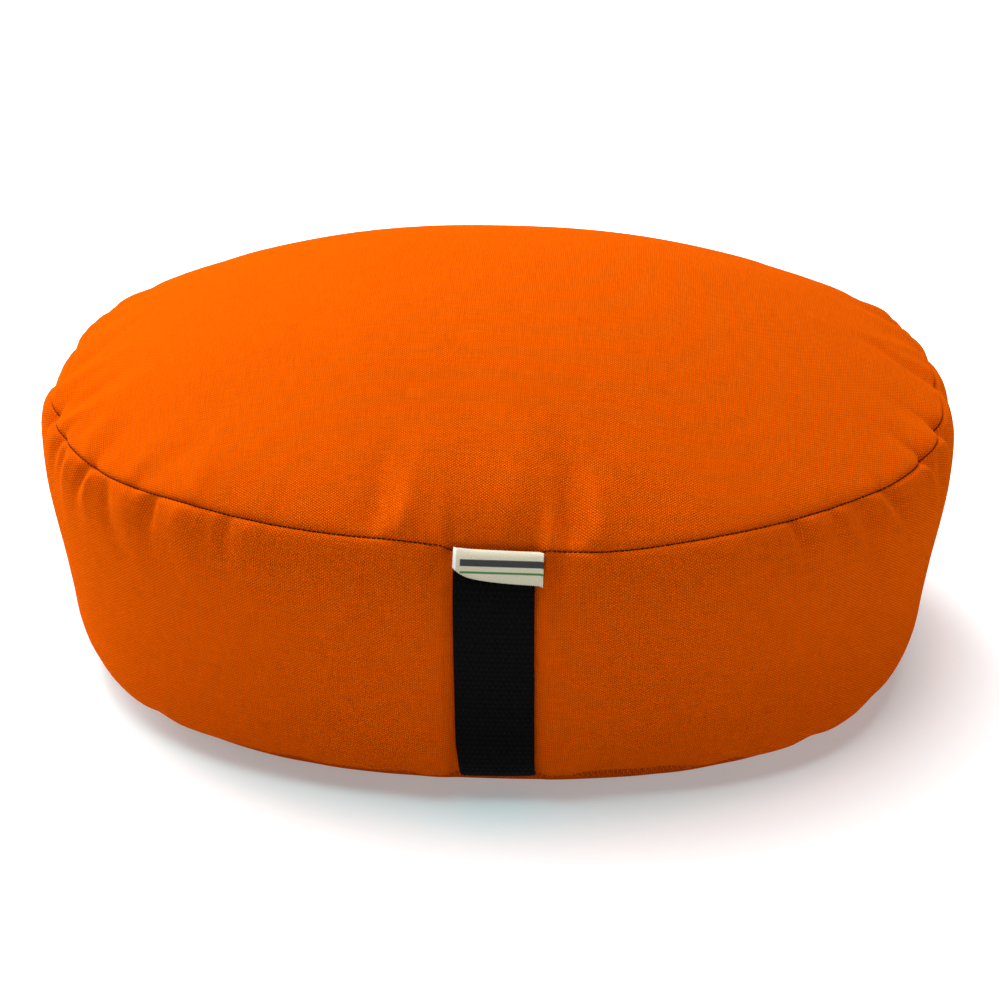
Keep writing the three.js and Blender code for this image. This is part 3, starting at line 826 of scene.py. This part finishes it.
def blown_up(rings):
    """Blows the rings up as cloth in a simulation, and gives how far out each of their points goes."""
    points, faces, _ = ring_faces(rings)
    trial = mesh_object("trial_cover", points, faces)
    free = np.concatenate([[0]] + [freedom(ring.points, ring.place) for ring in rings] + [[1]])
    place = np.concatenate([[0]] + [0 * ring.points[:, 0] + ring.place for ring in rings] + [[0]])
    endness = np.abs(points[:, 0]) / SEAM_HALF_LENGTH
    slackness = (SLACK_AT_FRONT + (1 - SLACK_AT_FRONT) * endness**2) * bell(place, SLACK_REACH)
    held = trial.vertex_groups.new(name="held")
    slack = trial.vertex_groups.new(name="slack")
    for vertex in range(len(points)):
        if free[vertex] < 0.5:
            held.add([vertex], 1.0, "REPLACE")
        slack.add([vertex], float(np.clip(slackness[vertex], 0, 1)), "REPLACE")
    cloth = trial.modifiers.new("cloth", "CLOTH")
    settings = cloth.settings
    settings.quality = 6
    settings.tension_stiffness = 40
    settings.compression_stiffness = 40
    settings.shear_stiffness = 20
    settings.bending_stiffness = 0.3
    settings.use_pressure = True
    settings.uniform_pressure_force = TRIAL_PRESSURE
    settings.vertex_group_mass = "held"
    settings.vertex_group_shrink = "slack"
    settings.shrink_min = 0
    settings.shrink_max = -SLACK
    settings.effector_weights.gravity = 0
    cloth.collision_settings.use_collision = False
    cloth.point_cache.frame_end = TRIAL_FRAMES
    for frame_number in range(1, TRIAL_FRAMES + 1):
        scene.frame_set(frame_number)
    settled = trial.evaluated_get(bpy.context.evaluated_depsgraph_get()).data
    after = np.empty(len(points) * 3)
    settled.vertices.foreach_get("co", after)
    moved = after.reshape(-1, 3) / MM - PLACE - points
    bpy.data.objects.remove(trial)
    scene.frame_set(1)
    parts = np.split(moved, np.cumsum([1] + [len(ring.points) for ring in rings]))
    return [
        np.sum(part * outward_of(ring.points), axis=1) for part, ring in zip(parts[1:-1], rings)
    ]


def smoothed(grid, rounds):
    """Spreads each value of a grid, whose columns go all the way round, over its neighbours."""
    for _ in range(rounds):
        grid = grid / 2 + (np.roll(grid, 1, axis=1) + np.roll(grid, -1, axis=1)) / 4
        rows = np.concatenate([grid[:1], grid, grid[-1:]])
        grid = grid / 2 + (rows[:-2] + rows[2:]) / 4
    return grid


def wrinkled(rings):
    """The rings with the wrinkles that the simulated cloth takes."""
    trial = cover_rings(TRIAL_MESH)
    trial_angles = column_angles(TRIAL_MESH)
    columns = np.arange(TRIAL_MESH.columns)
    grid = []
    for ring, out in zip(trial, blown_up(trial)):
        own = np.arange(len(out) + 1) * ring.step
        grid.append(np.interp(columns, own, closed(out)))
    grid = np.array(grid)
    wrinkles = np.clip(grid - smoothed(grid, SWELL_ROUNDS), -WRINKLE_CAP, WRINKLE_CAP)
    wrinkles = smoothed(wrinkles, 1)
    places = np.array([ring.place for ring in trial])
    by_row = smooth_curve(places, wrinkles, np.array([ring.place for ring in rings]))
    turn = 2 * math.pi
    round_angles = np.concatenate([trial_angles - turn, trial_angles, trial_angles + turn])
    fine_angles = column_angles(FINE_MESH)
    full = smooth_curve(round_angles, np.concatenate([by_row.T] * 3), fine_angles)
    moved = []
    for index, ring in enumerate(rings):
        out = full[:: ring.step, index] * freedom(ring.points, ring.place)
        moved.append(ring._replace(points=ring.points + outward_of(ring.points) * out[:, None]))
    return moved


# Rounds of turning that bring the points of the front wall to their places across it.
WALL_ROUNDS = 8


def front_wall(x, height):
    """Points of the front wall at places across and heights, found by turning to each place."""
    angle = np.full(height.shape, -math.pi / 2)
    points = band_points(angle, height)
    for _ in range(WALL_ROUNDS):
        angle = angle + (x - points[:, 0]) / oval_radius(angle)
        points = band_points(angle, height)
    return points


def front_outward(height):
    """The ways out of the front wall in the strap's middle at some heights, square to its section."""
    rise = front_wall(STRAP_CENTRE, height + 1.0) - front_wall(STRAP_CENTRE, height - 1.0)
    return unit(np.stack([0 * height, -rise[:, 2], rise[:, 1]], axis=1))


def closed_sheet(name, inner, outer, spread):
    """A closed sheet between two grids of points. Spread is each grid point's place on the cloth."""
    grid = np.arange(inner.shape[0] * inner.shape[1]).reshape(inner.shape[:2])
    squares = np.stack([grid[:-1, :-1], grid[1:, :-1], grid[1:, 1:], grid[:-1, 1:]], axis=2)
    squares = squares.reshape(-1, 4)
    rim = np.concatenate([grid[0, :-1], grid[:-1, -1], grid[-1, :0:-1], grid[:0:-1, 0]])
    after = np.roll(rim, -1)
    sides = np.stack([rim, rim + grid.size, after + grid.size, after], axis=1)
    faces = np.concatenate([squares + grid.size, squares[:, [0, 3, 2, 1]], sides])
    points = np.concatenate([inner.reshape(-1, 3), outer.reshape(-1, 3)])
    places = np.concatenate([spread.reshape(-1, 2)] * 2)
    return mesh_object(name, points, faces.tolist(), places[faces.ravel()])


def make_strap():
    """The webbing, from the groove of the top seam to the bottom seam, with rounded selvedges."""
    heights = np.append(np.arange(*STRAP_ROWS), STRAP_FOOT)
    shares = (1 - np.cos(np.linspace(0, math.pi, STRAP_COLUMNS))) / 2
    level, share = np.meshgrid(heights, shares, indexing="ij")
    tucked = smooth_rise(*STRAP_TUCK_HEIGHTS, level)
    across = (share - 0.5) * STRAP_WIDTH * (1 - STRAP_PINCH * tucked) + STRAP_SWERVE * tucked
    edge = np.abs(2 * share - 1)
    fullness = np.sqrt(np.clip(1 - edge**SELVEDGE_SHARPNESS, 0, 1))
    thickness = STRAP_THICKNESS * (SELVEDGE_THICKNESS + (1 - SELVEDGE_THICKNESS) * fullness)
    lie = PIECE_GAP + (STRAP_THICKNESS - thickness) / 2
    wall = front_wall(STRAP_CENTRE + across.ravel(), level.ravel()).reshape(*level.shape, 3)
    outward = front_outward(heights)[:, None, :]
    inner = wall + lie[:, :, None] * outward
    outer = inner + thickness[:, :, None] * outward
    return closed_sheet("strap_web", inner, outer, np.stack([across, level], axis=2))


def make_label():
    """The label, a tab that comes out of the top seam and hangs over the strap's top."""
    rows = np.linspace(0, 1, LABEL_ROWS)
    columns = np.linspace(0, 1, LABEL_COLUMNS)
    down, share = np.meshgrid(rows, columns, indexing="ij")
    x = LABEL_LEFT + (LABEL_RIGHT - LABEL_LEFT) * share
    stand = np.interp(down, LABEL_STAND_SHARES, LABEL_STANDS)
    pinking = LABEL_PINKING * (np.arange(LABEL_COLUMNS) % 2) * smooth_rise(LABEL_PINKED_FROM, 1, down)
    drop = read_table(LABEL_DROPS, share)[0] - pinking
    level = (LABEL_TOP - down * drop).ravel()
    spot = front_wall(x.ravel(), level)
    centre = front_wall(STRAP_CENTRE, level)
    floor = np.stack([x.ravel(), np.minimum(centre[:, 1], spot[:, 1]), centre[:, 2]], axis=1)
    outward = front_outward(level)
    inner = floor + stand.ravel()[:, None] * outward
    outer = inner + LABEL_THICKNESS * outward
    grid = (*share.shape, 3)
    spread = np.stack([x - LABEL_LEFT, down * drop], axis=2)
    return closed_sheet("label_tab", inner.reshape(grid), outer.reshape(grid), spread)


def make_stitches(name, seam, stand):
    """A row of short stitches laid along a closed seam line, standing out from it a little."""
    path = closed(seam + outward_of(seam) * stand)
    arc = arc_lengths(path)
    count = round(arc[-1] / STITCH_PITCH)
    dice = np.random.default_rng(seed=7)
    turns = np.arange(THREAD_SIDES) * 2 * math.pi / THREAD_SIDES
    points = []
    faces = []
    for index in range(count):
        middle = (index + 0.5) * arc[-1] / count
        half = STITCH_LENGTH * dice.uniform(*STITCH_EVENNESS) / 2
        ends = [middle - half, middle + half]
        span = np.array([[np.interp(at, arc, path[:, k]) for k in range(3)] for at in ends])
        axis = unit(span[1] - span[0])
        side = unit(np.cross(axis, [0, 0, 1]))
        up = np.cross(side, axis)
        start = len(points)
        for along, swell in STITCH_RINGS:
            centre = span[0] * (0.5 - along) + span[1] * (0.5 + along)
            ring = np.outer(np.cos(turns), side) + np.outer(np.sin(turns), up)
            points.extend(centre + ring * THREAD_RADIUS * swell)
        last = start + (len(STITCH_RINGS) - 1) * THREAD_SIDES
        for low in range(start, last, THREAD_SIDES):
            for j in range(THREAD_SIDES):
                a = low + j
                b = low + (j + 1) % THREAD_SIDES
                faces.append([a, b, b + THREAD_SIDES, a + THREAD_SIDES])
        faces.append([start + j for j in reversed(range(THREAD_SIDES))])
        faces.append([last + j for j in range(THREAD_SIDES)])
    return mesh_object(name, points, faces)


class Shader:
    """A short way to write a material's nodes: each call adds one node and gives its output."""

    def __init__(self, name):
        self.material = bpy.data.materials.new(name)
        self.material.use_nodes = True
        self.tree = self.material.node_tree
        self.surface = self.tree.nodes["Principled BSDF"]

    def node(self, kind, *values):
        """Adds a node and fills its sockets in their order, each with an output or a number."""
        node = self.tree.nodes.new("ShaderNode" + kind)
        for socket, value in zip(node.inputs, values):
            self.set(socket, value)
        return node

    def set(self, target, value):
        if isinstance(value, bpy.types.NodeSocket):
            self.tree.links.new(value, target)
        else:
            target.default_value = value

    def look(self, name, value):
        """Sets one of the surface's own sockets."""
        self.set(self.surface.inputs[name], value)

    def split(self, vector):
        return self.node("SeparateXYZ", vector).outputs

    def cloth(self):
        """Places on the cloth, in metres across and along it."""
        node = self.node("UVMap")
        node.uv_map = "cloth"
        return self.split(node.outputs[0])[:2]

    def place(self):
        return self.node("TexCoord").outputs["Object"]

    def vector(self, x, y):
        return self.node("CombineXYZ", x, y).outputs[0]

    def maths(self, operation, *values):
        node = self.node("Math", *values)
        node.operation = operation
        return node.outputs[0]

    def times(self, a, b):
        return self.maths("MULTIPLY", a, b)

    def plus(self, a, b):
        return self.maths("ADD", a, b)

    def blend(self, shares, **parts):
        """Adds up outputs, each times its own share."""
        total = None
        for name, share in shares.items():
            part = self.times(parts[name], share)
            total = part if total is None else self.plus(total, part)
        return total

    def noise(self, where, scale, detail):
        node = self.node("TexNoise", where)
        node.inputs["Scale"].default_value = scale
        node.inputs["Detail"].default_value = detail
        return node.outputs["Fac"]

    def span(self, value, low, high, to_low, to_high):
        return self.node("MapRange", value, low, high, to_low, to_high).outputs[0]

    def mix(self, share, first, second):
        node = self.node("Mix")
        node.data_type = "RGBA"
        colours = [socket for socket in node.inputs if socket.type == "RGBA"]
        for socket, value in zip([node.inputs["Factor"], *colours], (share, first, second)):
            self.set(socket, value)
        return [socket for socket in node.outputs if socket.type == "RGBA"][0]

    def wave(self, along, period):
        """A sine of a length, from -1 to 1, that repeats every period in millimetres."""
        return self.maths("SINE", self.times(along, 2 * math.pi / (period * MM)))

    def bump(self, height, depth, strength):
        node = self.node("Bump")
        node.inputs["Strength"].default_value = strength
        node.inputs["Distance"].default_value = depth * MM
        self.set(node.inputs["Height"], height)
        self.look("Normal", node.outputs[0])


def canvas_material():
    """Plain-weave cotton canvas: threads over and under, uneven in thickness, matt with a fine nap."""
    shader = Shader("canvas")
    across, along = shader.cloth()
    drift = shader.noise(shader.vector(across, along), DRIFT_SCALE, 2)
    wander = shader.times(shader.maths("SUBTRACT", drift, 0.5), THREAD_WANDER * MM)
    warp = shader.plus(across, wander)
    weft = shader.maths("SUBTRACT", along, wander)
    crossing = shader.times(shader.wave(warp, 2 * WARP_PITCH), shader.wave(weft, 2 * WEFT_PITCH))
    ridges = shader.wave(shader.plus(warp, WARP_PITCH / 4 * MM), WARP_PITCH)
    weave = shader.blend(CANVAS_WEAVE, crossing=crossing, ridges=ridges)
    long_slubs = shader.noise(shader.vector(across, shader.times(along, SLUB_STRETCH)), SLUB_SCALE, 2)
    cross_slubs = shader.noise(shader.vector(shader.times(across, SLUB_STRETCH), along), SLUB_SCALE, 2)
    slubs = shader.plus(long_slubs, cross_slubs)
    fade = shader.noise(shader.place(), FADE_SCALE, 3)
    # Painted shade from the weave, darker in the hollows between threads and paler on their crests,
    # plus the cloth's own uneven tone from slubs and fade.
    dye_and_weave_shade = shader.blend(CANVAS_DYE_AND_WEAVE_SHADE, weave=weave, slubs=slubs, fade=fade)
    shader.look("Base Color", shader.mix(shader.span(dye_and_weave_shade, -0.1, 1.2, 0.0, 1.0), *CANVAS_COLOURS))
    shader.look("Roughness", shader.span(slubs, 0.6, 1.4, 0.85, 1.0))
    shader.look("Specular IOR Level", 0.0)
    shader.look("Sheen Weight", 0.32)
    shader.look("Sheen Roughness", 0.35)
    shader.look("Sheen Tint", SHEEN_TINT)
    shader.bump(shader.blend(CANVAS_HEIGHT, weave=weave, slubs=slubs), 0.13, 1.0)
    return shader.material


def webbing_material():
    """Black webbing: ribs along its length, each crossed by slanting yarn floats."""
    shader = Shader("webbing")
    across, along = shader.cloth()
    rib = shader.wave(shader.plus(across, WEBBING_RIB / 4 * MM), WEBBING_RIB)
    pairs = shader.wave(across, 2 * WEBBING_RIB)
    slant = shader.plus(along, shader.times(pairs, WEBBING_SLANT * MM))
    bricks = shader.times(pairs, shader.wave(slant, WEBBING_FLOAT))
    bars = shader.wave(slant, WEBBING_FLOAT / 2)
    yarn = shader.wave(shader.plus(slant, across), YARN_TWIST)
    fuzz = shader.noise(shader.vector(across, along), WEBBING_FUZZ_SCALE, 3)
    height = shader.blend(WEBBING_HEIGHT, rib=rib, bricks=bricks, bars=bars, yarn=yarn, fuzz=fuzz)
    # Painted shade: the colour follows the height, darker in the hollows between ribs and floats and
    # paler on their tops.
    light = shader.span(height, -0.8, 1.2, 0.0, 1.0)
    shader.look("Base Color", shader.mix(light, *WEBBING_COLOURS))
    shader.look("Roughness", shader.span(fuzz, 0.3, 0.7, 0.7, 0.95))
    shader.look("Specular IOR Level", 0.045)
    shader.bump(height, 0.35, 0.8)
    return shader.material


def tape_material():
    """Cream woven tape: fine ribs, a paler selvedge, and two plain woven stripes."""
    shader = Shader("woven_tape")
    across, down = shader.cloth()
    rib = shader.wave(shader.plus(down, shader.times(across, TAPE_SLANT)), TAPE_RIB)
    threads = shader.blend(TAPE_THREADS, rib=rib, fine=shader.wave(across, TAPE_FINE_RIB))
    fuzz = shader.noise(shader.vector(across, down), TAPE_FUZZ_SCALE, 2)
    # Painted shade: the ribs make the colour darker in their hollows and paler on their crests; the
    # fuzz is the yarn's own uneven tone.
    light = shader.blend(TAPE_SHADE, threads=threads, fuzz=fuzz)
    cloth = shader.mix(light, *TAPE_COLOURS)
    for middle, half, colour in TAPE_STRIPES:
        apart = shader.maths("ABSOLUTE", shader.maths("SUBTRACT", down, middle * MM))
        stripe = shader.span(apart, (half + STRIPE_BLUR) * MM, (half - STRIPE_BLUR) * MM, 0.0, 1.0)
        started = shader.span(across, 3.2 * MM, 3.5 * MM, 0.0, 1.0)
        cloth = shader.mix(shader.times(stripe, started), cloth, colour)
    selvedge = shader.span(across, 1.7 * MM, 1.3 * MM, 0.0, 1.0)
    shader.look("Base Color", shader.mix(selvedge, cloth, SELVEDGE_COLOUR))
    shader.look("Roughness", shader.span(fuzz, 0.3, 0.7, 0.6, 0.8))
    shader.look("Specular IOR Level", 0.25)
    shader.bump(threads, 0.12, 0.7)
    return shader.material


def thread_material(name, colours):
    """Sewing thread with its twist."""
    shader = Shader(name)
    twist = shader.noise(shader.place(), THREAD_TWIST_SCALE, 1)
    shader.look("Base Color", shader.mix(twist, *colours))
    shader.look("Roughness", shader.span(twist, 0.3, 0.7, 0.6, 0.8))
    shader.look("Specular IOR Level", 0.08)
    shader.bump(twist, 0.05, 0.5)
    return shader.material


def dress(piece, material, slot, *nodes):
    """Gives a piece its material, attaches it to the root body, and hides the CAD nodes it stands for.
    """
    piece.data.materials.append(material)
    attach(piece, "root")
    if nodes:
        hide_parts(*nodes)


def aimed(location, target):
    return (Vector(target) - Vector(location)).to_track_quat("-Z", "Y").to_euler()


def add_camera():
    """The photograph's view: from the front, a little to the right and 30 degrees above."""
    azimuth = math.radians(VIEW_AZIMUTH)
    elevation = math.radians(VIEW_ELEVATION)
    level = math.cos(elevation)
    back = np.array([math.sin(azimuth) * level, -math.cos(azimuth) * level, math.sin(elevation)])
    target = np.array(VIEW_TARGET) + PLACE
    data = bpy.data.cameras.new("photo_view")
    data.lens = FOCAL_LENGTH
    data.sensor_width = SENSOR_WIDTH
    camera = scene_object("photo_view", data)
    camera.location = (target + VIEW_DISTANCE * back) * MM
    camera.rotation_euler = aimed(camera.location, target * MM)
    scene.camera = camera


# Soft boxes round the cushion, all aimed at its middle, in metres and watts.
Lamp = namedtuple("Lamp", "name place size power")
LAMPS = [
    Lamp("overhead_box", (-0.25, 0.2, 1.9), 2.2, 52),
    Lamp("left_box", (-1.8, 0.35, 0.8), 0.9, 5),
    Lamp("left_low_box", (-1.7, 0.4, 0.3), 0.5, 5.5),
    Lamp("left_back_box", (-1.5, 1.05, 0.8), 0.9, 22),
    Lamp("back_box", (-0.8, 1.3, 1.9), 1.1, 43),
    Lamp("right_low_box", (1.7, -0.1, 0.3), 0.5, 5),
    Lamp("front_box", (-0.2, -0.6, 2.2), 0.8, 6),
]
LAMP_AIM = (0, 0, 0.1)

# The surround looks white, but it lights the scene only this much.
WORLD_STRENGTH = 0.02

# The floor, in metres: its tint paints out the orange light that the cushion throws on it, and it glows
# by itself as painted light, more so away from the cushion, so that it comes out white there and the
# shadows away from the cushion are filled in.
FLOOR_HALF = 14
FLOOR_OVALNESS = 1.2
FLOOR_COLOURS = [(0.5, 0.79, 0.82, 1), (0.77, 0.79, 0.79, 1)]
FLOOR_TINT_REACH = (0.165, 0.2)
NEAR_GLOW = (0.18, 0.5, 0.31, 0.74)
FAR_GLOW = (0.7, 2.0, 0.0, 0.3)


def add_studio():
    """A pale floor, tinted near the cushion and glowing as painted light away from it, soft boxes and
    an even pale surround.
    """
    floor_mesh = bpy.data.meshes.new("floor")
    corners = [(-1, -1), (1, -1), (1, 1), (-1, 1)]
    points = [(FLOOR_HALF * x, FLOOR_HALF * y, 0) for x, y in corners]
    floor_mesh.from_pydata(points, [], [(0, 1, 2, 3)])
    shader = Shader("floor")
    shader.look("Roughness", 0.9)
    shader.look("Specular IOR Level", 0.1)
    shader.look("Emission Color", (1, 1, 1, 1))
    x, y = shader.split(shader.place())[:2]
    x_squared = shader.maths("POWER", shader.times(x, 1 / FLOOR_OVALNESS), 2)
    away = shader.maths("SQRT", shader.plus(x_squared, shader.maths("POWER", y, 2)))
    # Painted-out light: the tint is cooler near the cushion, to cancel the orange light it throws on
    # the floor.
    tint = shader.mix(shader.span(away, *FLOOR_TINT_REACH, 0.0, 1.0), *FLOOR_COLOURS)
    shader.look("Base Color", tint)
    # Painted light: the floor glows, dimmer near the cushion and brighter away from it, filling in the
    # shadows there.
    glow = shader.plus(shader.span(away, *NEAR_GLOW), shader.span(away, *FAR_GLOW))
    shader.look("Emission Strength", glow)
    floor_mesh.materials.append(shader.material)
    scene_object("floor", floor_mesh)
    for lamp in LAMPS:
        data = bpy.data.lights.new(lamp.name, "AREA")
        data.shape = "DISK"
        data.size = lamp.size
        data.energy = lamp.power
        light = scene_object(lamp.name, data)
        light.location = lamp.place
        light.rotation_euler = aimed(lamp.place, LAMP_AIM)
    world = bpy.data.worlds.new("studio")
    world.use_nodes = True
    tree = world.node_tree
    background = tree.nodes["Background"]
    background.inputs["Color"].default_value = (1, 1, 1, 1)
    seen = tree.nodes.new("ShaderNodeLightPath").outputs["Is Camera Ray"]
    strength = tree.nodes.new("ShaderNodeMath")
    strength.operation = "MAXIMUM"
    strength.inputs[1].default_value = WORLD_STRENGTH
    tree.links.new(seen, strength.inputs[0])
    tree.links.new(strength.outputs[0], background.inputs["Strength"])
    scene.world = world
    scene.view_settings.view_transform = "Standard"


fine_rings = cover_rings(FINE_MESH)
PLACE = frame_place(fine_rings)
fine_rings = wrinkled(fine_rings)

cover_points, cover_faces, cover_corners = ring_faces(fine_rings)
cover = mesh_object("cushion_cover", cover_points, cover_faces, cover_corners)
dress(cover, canvas_material(), "canvas", "cushion_body")

strap = make_strap()
dress(strap, webbing_material(), "webbing", "carry_strap")

label = make_label()
dress(label, tape_material(), "woven_tape", "label")

top_seam = next(ring.points for ring in fine_rings if ring.place == 0)
top_thread = thread_material("dark_thread", DARK_THREAD)
dress(make_stitches("top_seam_thread", top_seam, TOP_THREAD_STAND), top_thread, "canvas")

bottom_place = BOTTOM_SEAM_HEIGHT - TOP_SEAM_HEIGHT
bottom_seam = next(ring.points for ring in fine_rings if ring.place == bottom_place)
bottom_thread = thread_material("orange_thread", ORANGE_THREAD)
dress(make_stitches("bottom_seam_thread", bottom_seam, BOTTOM_THREAD_STAND), bottom_thread, "canvas")

add_camera()
add_studio()
